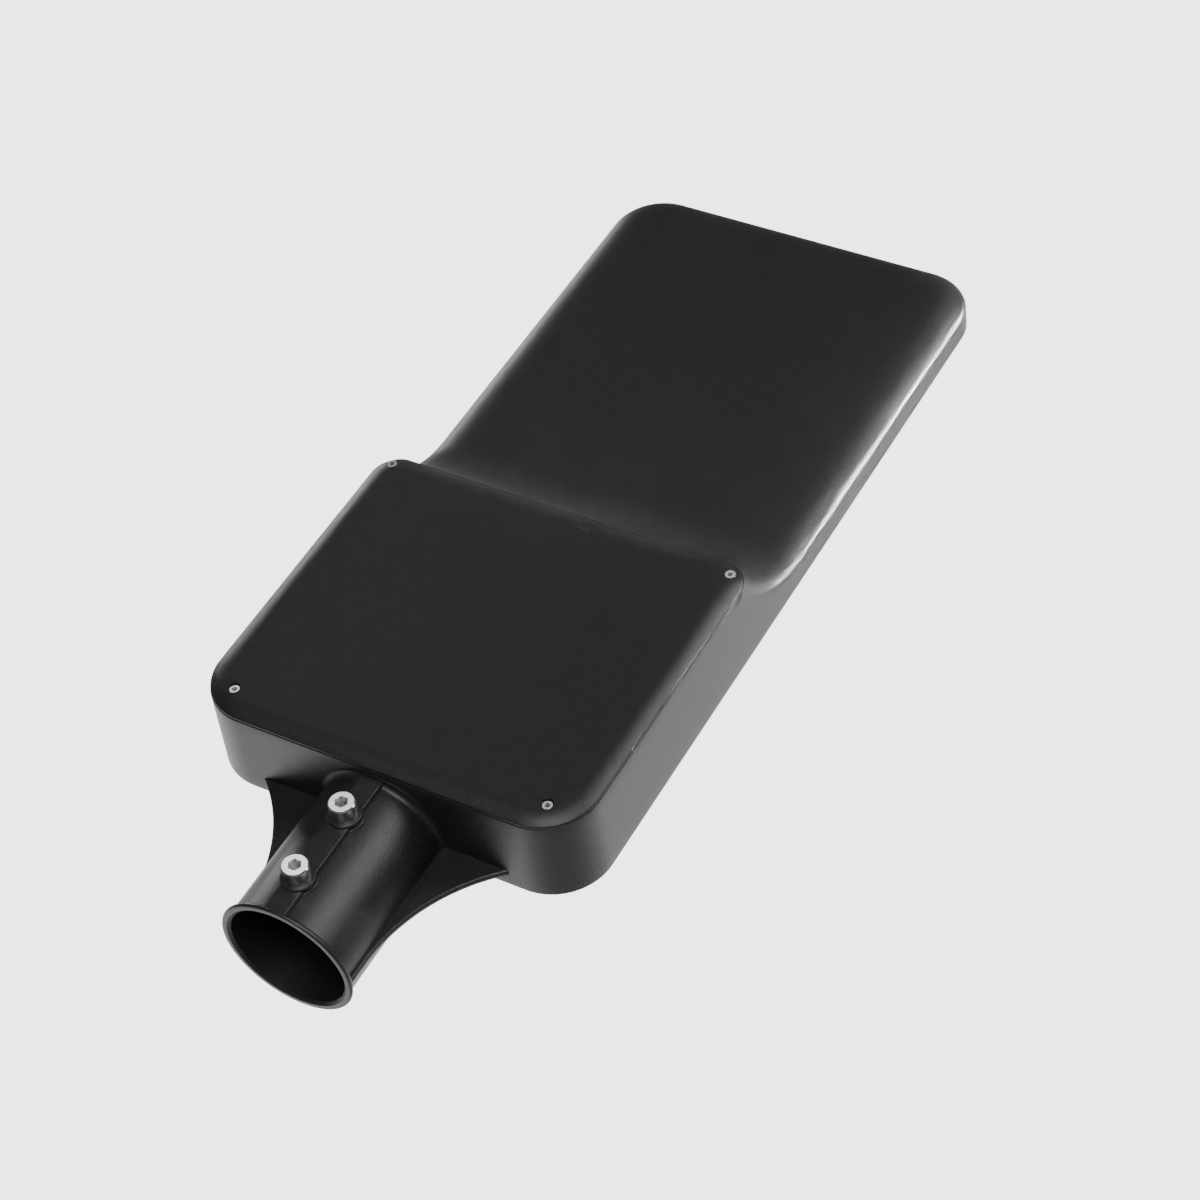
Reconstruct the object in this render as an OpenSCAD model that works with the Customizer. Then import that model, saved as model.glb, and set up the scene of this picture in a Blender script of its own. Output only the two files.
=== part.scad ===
// Head of a two-part solar street lamp: a die-cast body with a pole spigot, a compartment
// for the battery and the charge controller, and a thin LED slab that looks down.
// X runs across, +Y from the spigot's mouth to the tip, +Z up. The origin is on the spigot's
// axis, where its bore begins behind the mouth's lead-in.

/* [Body] */
// Width of the body across both side walls
body_w = 209; // [196:1:250]
// Length from the spigot's mouth to the tip of the slab
total_length = 526; // [500:1:620]
// Distance from the spigot's mouth to the front wall of the compartment
front_dist = 84.6; // [80:0.1:110]
// Height of the flat underside
bottom_z = -10; // [-14:0.5:-8]
// Height of the compartment's rim
rim_z = 37; // [35:0.5:48]
// Thickness of the LED slab
slab_t = 20; // [19:0.5:26]
// Thickness of the compartment's walls
wall = 3.2; // [2.5:0.1:4]
// Thickness of the compartment's floor
floor_t = 3; // [2.5:0.1:4]
// Plan radius of the two corners at the spigot end
near_corner_r = 29; // [20:1:34]
// Plan radius of the two corners at the tip
tip_corner_r = 28; // [20:1:34]
// Radius that rounds the slab's upper edge
slab_edge_r = 8; // [5:0.5:9]
// Radius of the hollow sweep from the slab up to the compartment
ramp_r = 55; // [50:1:60]

/* [Cover] */
// Step from the body's outline in to the cover's outline
cover_inset = 0.9; // [0.5:0.1:1.5]
// Distance from the front wall to the cover's far edge, without the step
cover_length = 179.8; // [170:0.1:200]
// Height of the cover's upright edge
cover_edge_h = 1.4; // [1:0.1:2]
// Height that the crown rises above the edge
cover_crown_h = 2.8; // [2:0.1:3.5]
// Width of the sloping border between the edge and the crown
cover_border = 9; // [6:0.5:12]
// Plan radius of the cover's far corners
cover_far_r = 14; // [12:0.5:18]
// Gap between the cover and the rim, which the gasket fills
cover_gap = 0.3; // [0.2:0.1:0.5]
// Distance from the side walls in to the cover screws at the spigot end
near_screw_inset = 19.3; // [18.5:0.1:20.5]
// Distance from the front wall to those screws
near_screw_dy = 14.7; // [14:0.1:16]
// Distance from the side walls in to the cover screws at the slab end
far_screw_inset = 9.1; // [8.5:0.1:10.5]
// Distance from the cover's far edge back to those screws
far_screw_dy = 7.1; // [6.5:0.1:8]
// Depth of the cover screws' heads below the crown
cover_screw_sink = 1; // [0.8:0.1:2.5]

/* [Spigot] */
// Radius of the spigot's bore, for a 60 mm pole
bore_r = 30.2; // [29:0.1:31]
// Thickness of the spigot's wall
spigot_wall = 2.1; // [1.8:0.1:3]
// Depth that the pole goes in before it meets the stop
pole_depth = 66; // [60:1:68]
// Radius of the cable chamber behind the stop
chamber_r = 25; // [20:0.5:26]
// Outer radius of the lip around the mouth
lip_r = 34.6; // [34.4:0.1:36]
// Length of the lip along the axis
lip_len = 2.4; // [2:0.1:4]
// Length of the lead-in chamfer inside the mouth
lead_in = 1.4; // [1:0.1:2]
// Distance from the mouth to the first clamp screw
clamp_dist = 21.8; // [18:0.1:24]
// Distance between the two clamp screws
clamp_pitch = 39; // [30:0.5:40]
// Height of the raised land along the spigot's top
land_z = 34.2; // [34:0.1:34.8]
// Width of that land
land_w = 11.8; // [8:0.1:16]
// Radius of the bosses under the clamp screws
clamp_boss_r = 8.8; // [7.5:0.1:10]
// Height of the top of those bosses
clamp_boss_z = 35.3; // [35:0.1:36]
// Half the width of the two webs where they meet the front wall
web_reach = 68; // [60:0.5:72]
// Radius of the webs' hollow outline
web_r = 92.3; // [90:0.1:110]
// Height of the webs' upper face
web_z = 0.5; // [-2:0.1:2]
// Thickness of the webs
web_t = 3.5; // [3:0.1:5]

/* [Fasteners] */
// Shank radius of the M8 clamp screws
clamp_shank_r = 4; // [3:0.5:4]
// Head radius of the M8 clamp screws
clamp_head_r = 6.5; // [5:0.5:6.5]
// Head height of the M8 clamp screws
clamp_head_h = 8; // [6:0.5:8]
// Shank radius of the M3 screws
m3_r = 1.5; // [1.25:0.25:1.5]
// Head radius of the M3 screws
m3_head_r = 2.75; // [2.5:0.05:2.75]
// Head height of the M3 screws
m3_head_h = 3; // [2:0.5:3]
// Running clearance around every threaded shank
thread_gap = 0.05; // [0.03:0.01:0.08]

/* [Battery] */
// Radius of one lithium iron phosphate cell
cell_r = 16.1; // [13:0.1:16.2]
// Length of one cell
cell_len = 70; // [65:0.5:70]
// Gap between neighbouring cells
cell_gap = 0.8; // [0.5:0.1:1]
// Wall of the battery tray
tray_wall = 1.6; // [1.2:0.1:2]
// Distance from the front wall's inside to the battery tray
tray_dy = 27; // [24:1:30]
// Distance from the left wall's inside to the battery tray
tray_dx = 13; // [12:0.5:13.5]

/* [Controller] */
// Width of the charge controller
controller_w = 38; // [30:1:39]
// Length of the charge controller
controller_len = 112; // [90:1:120]
// Height of the charge controller
controller_h = 28; // [20:1:30]

/* [LED module] */
// Width of the LED board
led_board_w = 150; // [130:1:160]
// Length of the LED board
led_board_len = 178; // [160:1:180]
// Number of LEDs across
led_columns = 6; // [4:1:6]
// Number of LEDs along
led_rows = 8; // [6:1:8]
// Thickness of the glass
glass_t = 4; // [3:0.5:4]

/* [Hidden] */

$fn = 64;
eps = 0.01;

// Places along the body
mouth_y = -lead_in;
clamp_y = mouth_y + clamp_dist;
stop_y = mouth_y + pole_depth;
front_y = mouth_y + front_dist;
tip_y = mouth_y + total_length;

// Outline of the body
half_w = body_w / 2;
floor_z = bottom_z + floor_t;
slab_z = bottom_z + slab_t;
slab_roof_t = 4.5;
slab_roof_z = slab_z - slab_roof_t;

// Cover and rim
cover_half_w = half_w - cover_inset;
cover_near_y = front_y + cover_inset;
cover_far_y = front_y + cover_length;
cover_near_r = near_corner_r - cover_inset;
cover_z = rim_z + cover_gap;
cover_edge_z = cover_z + cover_edge_h;
cover_top_z = cover_edge_z + cover_crown_h;
cover_hollow = 1.5;
skirt_h = 4;
skirt_t = 2;
skirt_gap = 0.8;
crest_y = cover_far_y + 2 * cover_inset;

// Sweep between the slab and the rim. It dips a little into the slab, so the two surfaces
// cross instead of only touching.
ramp_dip = 0.3;
ramp_axis_z = slab_z + ramp_r - ramp_dip;
ramp_axis_y = crest_y + sqrt(pow(ramp_r, 2) - pow(ramp_axis_z - rim_z, 2));
ramp_shell = 3.5;

// Ledge under the cover, with the gasket's groove
far_screw_x = half_w - far_screw_inset;
ledge_z = rim_z - 8;
gasket_w = 3;
gasket_groove = 1.5;
gasket_slack = 0.2;
gasket_half_w = far_screw_x - 4.9;
gasket_near_y = front_y + wall + 1;
gasket_far_y = cover_far_y - 2.4;
gasket_near_r = 40;
gasket_far_r = 14;
opening_step = 5;

// Bosses for the cover screws
pad_r = 3.9;
pad_gap = 0.3;
pad_z = rim_z - 2;
column_r = 6;
column_z = pad_z - pad_gap;
counterbore_gap = 0.35;
near_screw_x = half_w - near_screw_inset;
near_screw_y = front_y + near_screw_dy;
far_screw_y = cover_far_y - far_screw_dy;
cover_screw_len = 12;
cover_head_z = cover_top_z - cover_screw_sink - m3_head_h;
cover_screw_places = [
    [-near_screw_x, near_screw_y], [near_screw_x, near_screw_y],
    [-far_screw_x, far_screw_y], [far_screw_x, far_screw_y]];

// Compartment
inner_half_w = half_w - wall;
inner_y = front_y + wall;
bulkhead_t = 11;
bulkhead_y = ramp_axis_y - 22;

// Spigot
spigot_r = bore_r + spigot_wall;
lip_round = 0.8;
end_wall_t = 3.6 + wall;
end_wall_y = inner_y - end_wall_t;
gland_z = 10;
gland_pad_r = 14;
gland_pad_t = 1;
clamp_tip_z = bore_r + 0.1;
web_start_y = mouth_y + 13;
web_lip = 1.7;
gusset_t = 4;
gusset_len = 56;
gusset_pitch = 16;

// Battery. The cells lie along Y, side by side and in two rows.
cell_columns = 4;
cell_rows = 2;
cell_pitch = 2 * cell_r + cell_gap;
row_pitch = cell_len + 3;
tray_x = -inner_half_w + tray_dx;
tray_y = inner_y + tray_dy;
tray_inner_w = cell_columns * cell_pitch + cell_gap;
tray_inner_len = cell_rows * row_pitch + 1;
tray_w = tray_inner_w + 2 * tray_wall;
tray_len = tray_inner_len + 2 * tray_wall;
tray_h = 12;
tray_floor_z = floor_z + tray_wall;
cell_z = tray_floor_z + cell_r;
cell_top_z = cell_z + cell_r;
link_t = 0.3;
sheet_t = 0.8;
sheet_z = cell_top_z;
board_t = 1.6;
strap_t = 1;
strap_w = 12;
strap_foot = 8;
strap_top_z = sheet_z + sheet_t;
strap_inset = 36;
strap_y = [tray_y + strap_inset, tray_y + tray_len - strap_inset];
strap_gap = 0.3;

// Bosses on the floor, and the pan head screws in them
boss_r = 4;
boss_h = 3;
boss_hole_depth = 1.5;
pan_head_h = 2;
floor_screw_len = 6;
screw_hole_gap = 0.2;

// Controller
controller_inset = 5;
controller_dy = 34;
controller_x = inner_half_w - controller_inset - controller_w;
controller_y = inner_y + controller_dy;
controller_flange = 9;
controller_flange_w = 16;
controller_flange_t = 2;
controller_lid_t = 2;
controller_lid_gap = 0.3;
controller_wall = 2;

// Terminal block, earth screw and vent
terminal_w = 56;
terminal_d = 15;
terminal_h = 14;
terminal_ways = 6;
terminal_pitch = 9;
terminal_margin = 5.5;
terminal_screw_r = 2;
terminal_screw_depth = 6;
terminal_x = 22;
terminal_y = inner_y + 7;
earth_x = -inner_half_w + 30;
earth_y = inner_y + 14;
vent_x = -54;
vent_y = inner_y + 13;
vent_r = 6;
vent_cap_h = 2.5;
vent_nut_w = 17;
vent_nut_h = 3.5;

// LED compartment
led_y = bulkhead_y + bulkhead_t + 3;
board_z = slab_roof_z - board_t;
chip_w = 3;
chip_t = 0.8;
chip_z = board_z - chip_t;
led_pitch_x = led_board_w / led_columns;
led_pitch_y = led_board_len / led_rows;
lens_gap = 0.1;
lens_top_z = chip_z - lens_gap;
lens_t = 2.2;
lens_r = 8;
lens_dome_h = 3.4;
lens_screw_bite = 2.5;
lens_post_r = 3.4;
lens_start = 14;
glass_margin = 10;
glass_seat = 6;
glass_far = 9;
glass_half_w = half_w - glass_margin;
glass_near_y = bulkhead_y + bulkhead_t - glass_seat;
glass_far_y = tip_y - glass_far;
glass_corner_r = tip_corner_r - glass_far;
glass_gap = 0.4;
glass_z = bottom_z;
glass_seal_t = 1.5;
glass_ledge_z = glass_z + glass_t + glass_seal_t;
frame_t = 2;
frame_edge = 2;
frame_window = 8;
frame_screw_len = 6;
frame_head_h = 1.6;
frame_near_r = 12;

// Cable gland through the wall at the end of the chamber.
gland_thread_r = 8;
gland_hex = 22;
gland_flange_t = 5;
gland_bore_r = 4.5;
gland_nut_t = 4.5;
gland_dome_len = 9;
gland_stub_r = 6.6;
gland_nut_y = end_wall_y - gland_flange_t;

// Wires and the grommet that the LED leads pass through
wire_r = 1.2;
wire_sides = 8;
wire_bend = 4;
wire_bend_steps = 4;
lead_gap = 2.8;
grommet_x = controller_x + 10;
grommet_z = 1.2;
grommet_neck_r = 4;
grommet_flange_r = 5.4;
grommet_flange_t = 1.6;
grommet_bore_r = 2.9;

// Battery management board, on the sheet over the middle cells
bms_w = 70;
bms_len = 24;
bms_y = tray_y + tray_len / 2 - bms_len / 2;
bms_x = cell_x(1);

// Places of the screws that hold the glass frame: along both sides and across both ends.
frame_half_w = half_w - frame_edge;
frame_near_y = glass_near_y - glass_margin + frame_edge;
frame_far_y = tip_y - frame_edge;
frame_side_y = [for (i = [0:3]) glass_near_y + 20 + i * (glass_far_y - glass_near_y - 46) / 3];
frame_end_x = [-half_w / 2 + 2, half_w / 2 - 2];
frame_screw_places = concat(
    [for (side = [-1, 1]) for (y = frame_side_y) [side * (glass_half_w + 4), y]],
    [for (x = frame_end_x) [x, glass_far_y + 3.8]],
    [for (x = frame_end_x) [x, glass_near_y - 4]]);

// Screws that go through the lens plate and the board into the slab's roof.
lens_screw_places = [for (column = [1, led_columns / 2, led_columns - 1])
    for (row = [1, led_rows / 2, led_rows - 1])
        [(column - led_columns / 2) * led_pitch_x, led_y + row * led_pitch_y]];
strap_boss_x = [tray_x - strap_gap - strap_t - strap_foot / 2,
    tray_x + tray_w + strap_gap + strap_t + strap_foot / 2];
strap_places = [for (y = strap_y) for (x = strap_boss_x) [x, y]];
controller_places = [
    [controller_x + controller_w / 2, controller_y - controller_flange / 2],
    [controller_x + controller_w / 2, controller_y + controller_len + controller_flange / 2]];

// Straight-sided plan with near corners of one radius and far corners of another.
module plan(half_width, near_y, far_y, near_r, far_r) {
    translate([-half_width, near_y + near_r])
        square([2 * half_width, far_y - far_r - near_y - near_r]);
    translate([-half_width + near_r, near_y])
        square([2 * (half_width - near_r), near_r + eps]);
    translate([-half_width + far_r, far_y - far_r - eps])
        square([2 * (half_width - far_r), far_r + eps]);
    for (side = [-1, 1]) {
        translate([side * (half_width - near_r), near_y + near_r]) circle(near_r);
        translate([side * (half_width - far_r), far_y - far_r]) circle(far_r);
    }
}

// Flat plate or ring lying at one height.
module slice(z0, z1) {
    translate([0, 0, z0]) linear_extrude(z1 - z0) children();
}

// Round bar along Y between two distances from the mouth.
module bar_y(r, y0, y1, z = 0) {
    translate([0, y0, z]) rotate([-90, 0, 0]) cylinder(r = r, h = y1 - y0);
}

module hex_y(across_flats, y0, y1, z = 0) {
    translate([0, y0, z]) rotate([-90, 0, 0])
        cylinder(d = across_flats / cos(30), h = y1 - y0, $fn = 6);
}

// Socket head screw that points down. z is the underside of its head.
module socket_screw(x, y, z, shank_r, head_r, head_h, length) {
    socket_r = head_r * 0.53;
    rim = head_r * 0.1;
    translate([x, y, z]) {
        difference() {
            rotate_extrude() polygon([[0, 0], [head_r, 0], [head_r, head_h - rim],
                [head_r - rim, head_h], [0, head_h]]);
            translate([0, 0, head_h * 0.45]) cylinder(r = socket_r, h = head_h, $fn = 6);
        }
        translate([0, 0, -length]) cylinder(r = shank_r, h = length + eps);
    }
}

module cover_screw(place) {
    color("silver")
        socket_screw(place[0], place[1], cover_head_z, m3_r, m3_head_r, m3_head_h,
            cover_screw_len);
}

module clamp_screw(y) {
    color("silver")
        socket_screw(0, y, clamp_boss_z, clamp_shank_r, clamp_head_r, clamp_head_h,
            clamp_boss_z - clamp_tip_z);
}

// Section through the slab's edge, outwards along X and up along Y, rounded at the top.
module slab_edge_section() {
    square([tip_corner_r, slab_t - slab_edge_r]);
    square([tip_corner_r - slab_edge_r, slab_t]);
    translate([tip_corner_r - slab_edge_r, slab_t - slab_edge_r]) circle(slab_edge_r);
}

module slab_side() {
    translate([half_w - tip_corner_r, tip_y - tip_corner_r, bottom_z])
        rotate([90, 0, 0])
        linear_extrude(tip_y - tip_corner_r - crest_y) slab_half_section();
}

// The edge section without the part of its circle that would hang below the underside.
module slab_half_section() {
    intersection() {
        slab_edge_section();
        square([tip_corner_r, slab_t]);
    }
}

module slab_outer() {
    core_half_w = half_w - tip_corner_r;
    corner_y = tip_y - tip_corner_r;
    translate([-core_half_w, crest_y, bottom_z])
        cube([2 * core_half_w, corner_y - crest_y, slab_t]);
    slab_side();
    mirror([1, 0, 0]) slab_side();
    translate([-core_half_w, corner_y, bottom_z])
        rotate([90, 0, 90]) linear_extrude(2 * core_half_w) slab_half_section();
    translate([core_half_w, corner_y, bottom_z])
        rotate_extrude(angle = 90) slab_half_section();
    translate([-core_half_w, corner_y, bottom_z])
        rotate([0, 0, 90]) rotate_extrude(angle = 90) slab_half_section();
}

// Hollow sweep from the rim down to the slab, with the slab's edge radius along its sides.
module ramp_outer() {
    difference() {
        translate([-half_w, crest_y, bottom_z])
            cube([body_w, ramp_axis_y - crest_y, rim_z - bottom_z]);
        translate([-body_w, ramp_axis_y, ramp_axis_z])
            rotate([0, 90, 0]) cylinder(r = ramp_r, h = 2 * body_w, $fn = 128);
        ramp_edge_cut();
        mirror([1, 0, 0]) ramp_edge_cut();
    }
}

module ramp_edge_cut() {
    translate([0, ramp_axis_y, ramp_axis_z]) rotate([0, 90, 0])
        rotate_extrude($fn = 128) difference() {
            translate([ramp_r - 1, half_w - slab_edge_r])
                square([slab_edge_r + 1, slab_edge_r + 1]);
            translate([ramp_r + slab_edge_r, half_w - slab_edge_r]) circle(slab_edge_r);
        }
}

module box_outer() {
    slice(bottom_z, rim_z)
        plan(half_w, front_y, crest_y, near_corner_r, cover_inset);
}

// Compartment below the ledge, reaching back under the sweep.
module compartment() {
    slice(floor_z, ledge_z)
        plan(inner_half_w, inner_y, crest_y - wall, near_corner_r - wall, wall);
    difference() {
        translate([-inner_half_w, crest_y - 2 * wall, floor_z])
            cube([2 * inner_half_w, bulkhead_y - crest_y + 2 * wall, ledge_z - floor_z]);
        translate([-body_w, ramp_axis_y, ramp_axis_z]) rotate([0, 90, 0])
            cylinder(r = ramp_r + ramp_shell, h = 2 * body_w, $fn = 128);
    }
}

module gasket_plan(step) {
    plan(gasket_half_w - step, gasket_near_y + step, gasket_far_y - step,
        gasket_near_r - step, gasket_far_r - step);
}

module opening_cut() {
    slice(ledge_z - 1, rim_z + 1) gasket_plan(opening_step);
}

module gasket_groove_cut() {
    slice(rim_z - gasket_groove, rim_z + 1) difference() {
        gasket_plan(-gasket_slack);
        gasket_plan(gasket_w + gasket_slack);
    }
}

module cover_columns() {
    for (place = cover_screw_places)
        translate([place[0], place[1], floor_z - eps])
            cylinder(r = column_r, h = column_z - floor_z);
}

module cover_column_cuts() {
    for (place = cover_screw_places) {
        translate([place[0], place[1], column_z]) cylinder(r = pad_r + pad_gap, h = 20);
        translate([place[0], place[1], cover_head_z - cover_screw_len - 1])
            cylinder(r = m3_r + thread_gap, h = 20);
    }
}

module web_side() {
    slice(web_z - web_t, web_z) difference() {
        translate([0, web_start_y]) square([web_reach, front_y - web_start_y + wall / 2]);
        translate([spigot_r + web_lip + web_r, web_start_y])
            circle(web_r, $fn = 128);
    }
    slice(web_z - web_t, web_z)
        square([spigot_r + web_lip, web_start_y + eps]);
}

module gusset(x) {
    translate([x - gusset_t / 2, 0, 0]) rotate([90, 0, 90]) linear_extrude(gusset_t)
        polygon([[inner_y - wall, bottom_z + 1], [inner_y - wall, -sqrt(pow(spigot_r, 2)
            - pow(abs(x) + gusset_t, 2))], [inner_y, -sqrt(pow(spigot_r, 2)
            - pow(abs(x) + gusset_t, 2))], [inner_y + gusset_len, bottom_z],
            [inner_y + gusset_len, bottom_z + 1]]);
}

module spigot_outer() {
    bar_y(spigot_r, 0, inner_y);
    translate([0, mouth_y, 0]) rotate([-90, 0, 0]) rotate_extrude() polygon([
        [bore_r - 1, 0], [lip_r - lip_round, 0], [lip_r, lip_round],
        [lip_r, lip_len - lip_round], [spigot_r, lip_len + lip_round],
        [bore_r - 1, lip_len + lip_round]]);
    translate([-land_w / 2, 0, 0]) cube([land_w, front_y + eps, land_z]);
    for (y = [clamp_y, clamp_y + clamp_pitch])
        translate([0, y, 0]) cylinder(r = clamp_boss_r, h = clamp_boss_z);
    web_side();
    mirror([1, 0, 0]) web_side();
    for (i = [-1:1]) gusset(i * gusset_pitch);
    bar_y(gland_pad_r, end_wall_y, inner_y + gland_pad_t, gland_z);
}

module spigot_cuts() {
    bar_y(bore_r, mouth_y - 1, stop_y);
    translate([0, mouth_y, 0]) rotate([-90, 0, 0])
        cylinder(r1 = bore_r + lead_in, r2 = bore_r, h = lead_in);
    bar_y(chamber_r, stop_y - 1, end_wall_y);
    bar_y(gland_thread_r + thread_gap, end_wall_y - 1, inner_y + 2, gland_z);
    for (y = [clamp_y, clamp_y + clamp_pitch])
        translate([0, y, 0]) cylinder(r = clamp_shank_r + thread_gap, h = clamp_boss_z + 1);
}

// Pocket for the glass, the room above it for the lenses, and the flat that the board meets.
module led_compartment() {
    slice(bottom_z - 1, glass_ledge_z)
        plan(glass_half_w, glass_near_y, glass_far_y, glass_corner_r, glass_corner_r);
    slice(glass_ledge_z - 1, slab_roof_z)
        plan(glass_half_w - glass_seat, glass_near_y + glass_seat, glass_far_y - glass_seat,
            glass_corner_r - glass_seat, glass_corner_r - glass_seat);
}

module frame_screw_holes(z0) {
    for (place = frame_screw_places)
        translate([place[0], place[1], z0])
            cylinder(r = m3_r + thread_gap, h = frame_screw_len + 1);
}

module floor_bosses() {
    for (place = concat(strap_places, controller_places, [[earth_x, earth_y]]))
        translate([place[0], place[1], floor_z - 1]) cylinder(r = boss_r, h = boss_h + 1);
}

module floor_boss_holes() {
    for (place = concat(strap_places, controller_places, [[earth_x, earth_y]]))
        translate([place[0], place[1], floor_z - boss_hole_depth])
            cylinder(r = m3_r + thread_gap, h = boss_h + 2 * boss_hole_depth);
}

module vent_hole() {
    translate([vent_x, vent_y, bottom_z - 1]) cylinder(r = vent_r + thread_gap, h = floor_t + 2);
}

module housing() {
    color([0.16, 0.16, 0.17]) difference() {
        union() {
            difference() {
                union() {
                    box_outer();
                    ramp_outer();
                    slab_outer();
                }
                compartment();
                opening_cut();
                led_compartment();
            }
            cover_columns();
            floor_bosses();
            spigot_outer();
        }
        spigot_cuts();
        cover_column_cuts();
        gasket_groove_cut();
        floor_boss_holes();
        vent_hole();
        frame_screw_holes(bottom_z - 1);
        for (place = lens_screw_places)
            translate([place[0], place[1], slab_roof_z - 1])
                cylinder(r = m3_r + thread_gap, h = lens_screw_bite + 1.5);
        translate([grommet_x, 0, 0])
            bar_y(grommet_neck_r, bulkhead_y - 1, led_y, grommet_z);
    }
}

module cover_plan(step) {
    plan(cover_half_w - step, cover_near_y + step, cover_far_y - step,
        cover_near_r - step, cover_far_r - step);
}

module top_cover() {
    color([0.15, 0.15, 0.16]) difference() {
        union() {
            difference() {
                hull() {
                    slice(cover_z, cover_edge_z) cover_plan(0, $fn = 32);
                    slice(cover_edge_z, cover_top_z) cover_plan(cover_border, $fn = 32);
                }
                slice(cover_z - 1, cover_z + cover_hollow)
                    gasket_plan(opening_step + skirt_gap + skirt_t);
            }
            slice(cover_z - skirt_h, cover_z + eps) difference() {
                gasket_plan(opening_step + skirt_gap);
                gasket_plan(opening_step + skirt_gap + skirt_t);
            }
            for (place = cover_screw_places)
                translate([place[0], place[1], pad_z]) cylinder(r = pad_r, h = cover_z - pad_z + 1);
        }
        for (place = cover_screw_places) translate([place[0], place[1], 0]) {
            cylinder(r = m3_r + screw_hole_gap, h = cover_top_z + 1);
            translate([0, 0, cover_head_z]) cylinder(r = m3_head_r + counterbore_gap, h = 20);
        }
    }
}

module cover_gasket() {
    color("dimgray") slice(rim_z - gasket_groove, cover_z) difference() {
        gasket_plan(0);
        gasket_plan(gasket_w);
    }
}

module cover_screw_near_left() { cover_screw(cover_screw_places[0]); }
module cover_screw_near_right() { cover_screw(cover_screw_places[1]); }
module cover_screw_far_left() { cover_screw(cover_screw_places[2]); }
module cover_screw_far_right() { cover_screw(cover_screw_places[3]); }
module clamp_screw_front() { clamp_screw(clamp_y); }
module clamp_screw_rear() { clamp_screw(clamp_y + clamp_pitch); }

module gland_body() {
    color("black") difference() {
        union() {
            hex_y(gland_hex, end_wall_y - gland_flange_t, end_wall_y, gland_z);
            bar_y(gland_thread_r, end_wall_y - eps, inner_y + 8, gland_z);
            bar_y(gland_stub_r, end_wall_y - gland_flange_t - 3, end_wall_y, gland_z);
        }
        bar_y(gland_bore_r, end_wall_y - 20, inner_y + 20, gland_z);
    }
}

module gland_dome_nut() {
    color("black") difference() {
        union() {
            hex_y(gland_hex - 2, gland_nut_y - gland_dome_len + 3, gland_nut_y, gland_z);
            translate([0, gland_nut_y - gland_dome_len, gland_z]) rotate([-90, 0, 0])
                cylinder(r1 = 6.5, r2 = 9.6, h = 4);
        }
        bar_y(gland_stub_r + thread_gap, gland_nut_y - 5, gland_nut_y + 1, gland_z);
        bar_y(gland_bore_r, gland_nut_y - 20, gland_nut_y + 1, gland_z);
    }
}

module gland_seal() {
    color("dimgray") difference() {
        bar_y(gland_stub_r - 0.3, gland_nut_y - 5, gland_nut_y - 3, gland_z);
        bar_y(gland_bore_r - 1, gland_nut_y - 20, gland_nut_y, gland_z);
    }
}

module gland_locknut() {
    color("black") difference() {
        hex_y(gland_hex, inner_y + gland_pad_t, inner_y + gland_pad_t + gland_nut_t, gland_z);
        bar_y(gland_thread_r + thread_gap, inner_y, inner_y + 20, gland_z);
    }
}

module battery_tray() {
    color("ivory") difference() {
        translate([tray_x, tray_y, floor_z]) cube([tray_w, tray_len, tray_h]);
        translate([tray_x + tray_wall, tray_y + tray_wall, tray_floor_z])
            cube([tray_inner_w, tray_inner_len, tray_h]);
    }
}

function cell_x(column) = tray_x + tray_wall + cell_gap + cell_r + column * cell_pitch;
function cell_y(row) = tray_y + tray_wall + 1.5 + row * row_pitch;

module battery_cells() {
    color("royalblue") for (column = [0:cell_columns - 1]) for (row = [0:cell_rows - 1])
        translate([cell_x(column), cell_y(row), cell_z]) rotate([-90, 0, 0])
            cylinder(r = cell_r, h = cell_len);
}

// Nickel strips across the ends of neighbouring cells.
module cell_links() {
    color("silver") for (column = [0, 2]) for (row = [0:cell_rows - 1])
        for (y = [cell_y(row) - link_t, cell_y(row) + cell_len])
            translate([cell_x(column) - 4, y, cell_z - 4]) cube([cell_pitch + 8, link_t, 8]);
}

module battery_sheet() {
    color("khaki") translate([cell_x(0) - 8, tray_y + tray_wall + 2, sheet_z])
        cube([3 * cell_pitch + 16, tray_inner_len - 4, sheet_t]);
}

module bms_board() {
    color("darkgreen") translate([bms_x, bms_y, strap_top_z]) cube([bms_w, bms_len, board_t]);
    color("black") for (i = [0:3])
        translate([bms_x + 8 + i * 14, bms_y + 8, strap_top_z + board_t]) cube([9, 6, 2]);
}

// Steel bands over the cells, with a foot on a floor boss at each side.
module strap(y) {
    left = tray_x - strap_gap;
    right = tray_x + tray_w + strap_gap;
    foot_z = floor_z + boss_h;
    top_z = strap_top_z + strap_t;
    translate([0, y + strap_w / 2, 0]) rotate([90, 0, 0]) linear_extrude(strap_w) polygon([
        [left - strap_t - strap_foot, foot_z], [left, foot_z], [left, strap_top_z],
        [right, strap_top_z], [right, foot_z], [right + strap_t + strap_foot, foot_z],
        [right + strap_t + strap_foot, foot_z + strap_t], [right + strap_t, foot_z + strap_t],
        [right + strap_t, top_z], [left - strap_t, top_z],
        [left - strap_t, foot_z + strap_t], [left - strap_t - strap_foot, foot_z + strap_t]]);
}

module battery_straps() {
    color("silver") difference() {
        for (y = strap_y) strap(y);
        for (place = strap_places)
            translate([place[0], place[1], floor_z]) cylinder(r = m3_r + screw_hole_gap, h = 10);
    }
}

module pan_screw(place, z) {
    socket_screw(place[0], place[1], z, m3_r, m3_head_r, pan_head_h,
        floor_screw_len - pan_head_h);
}

module strap_screws() {
    color("silver") for (place = strap_places) pan_screw(place, floor_z + boss_h + strap_t);
}

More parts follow.
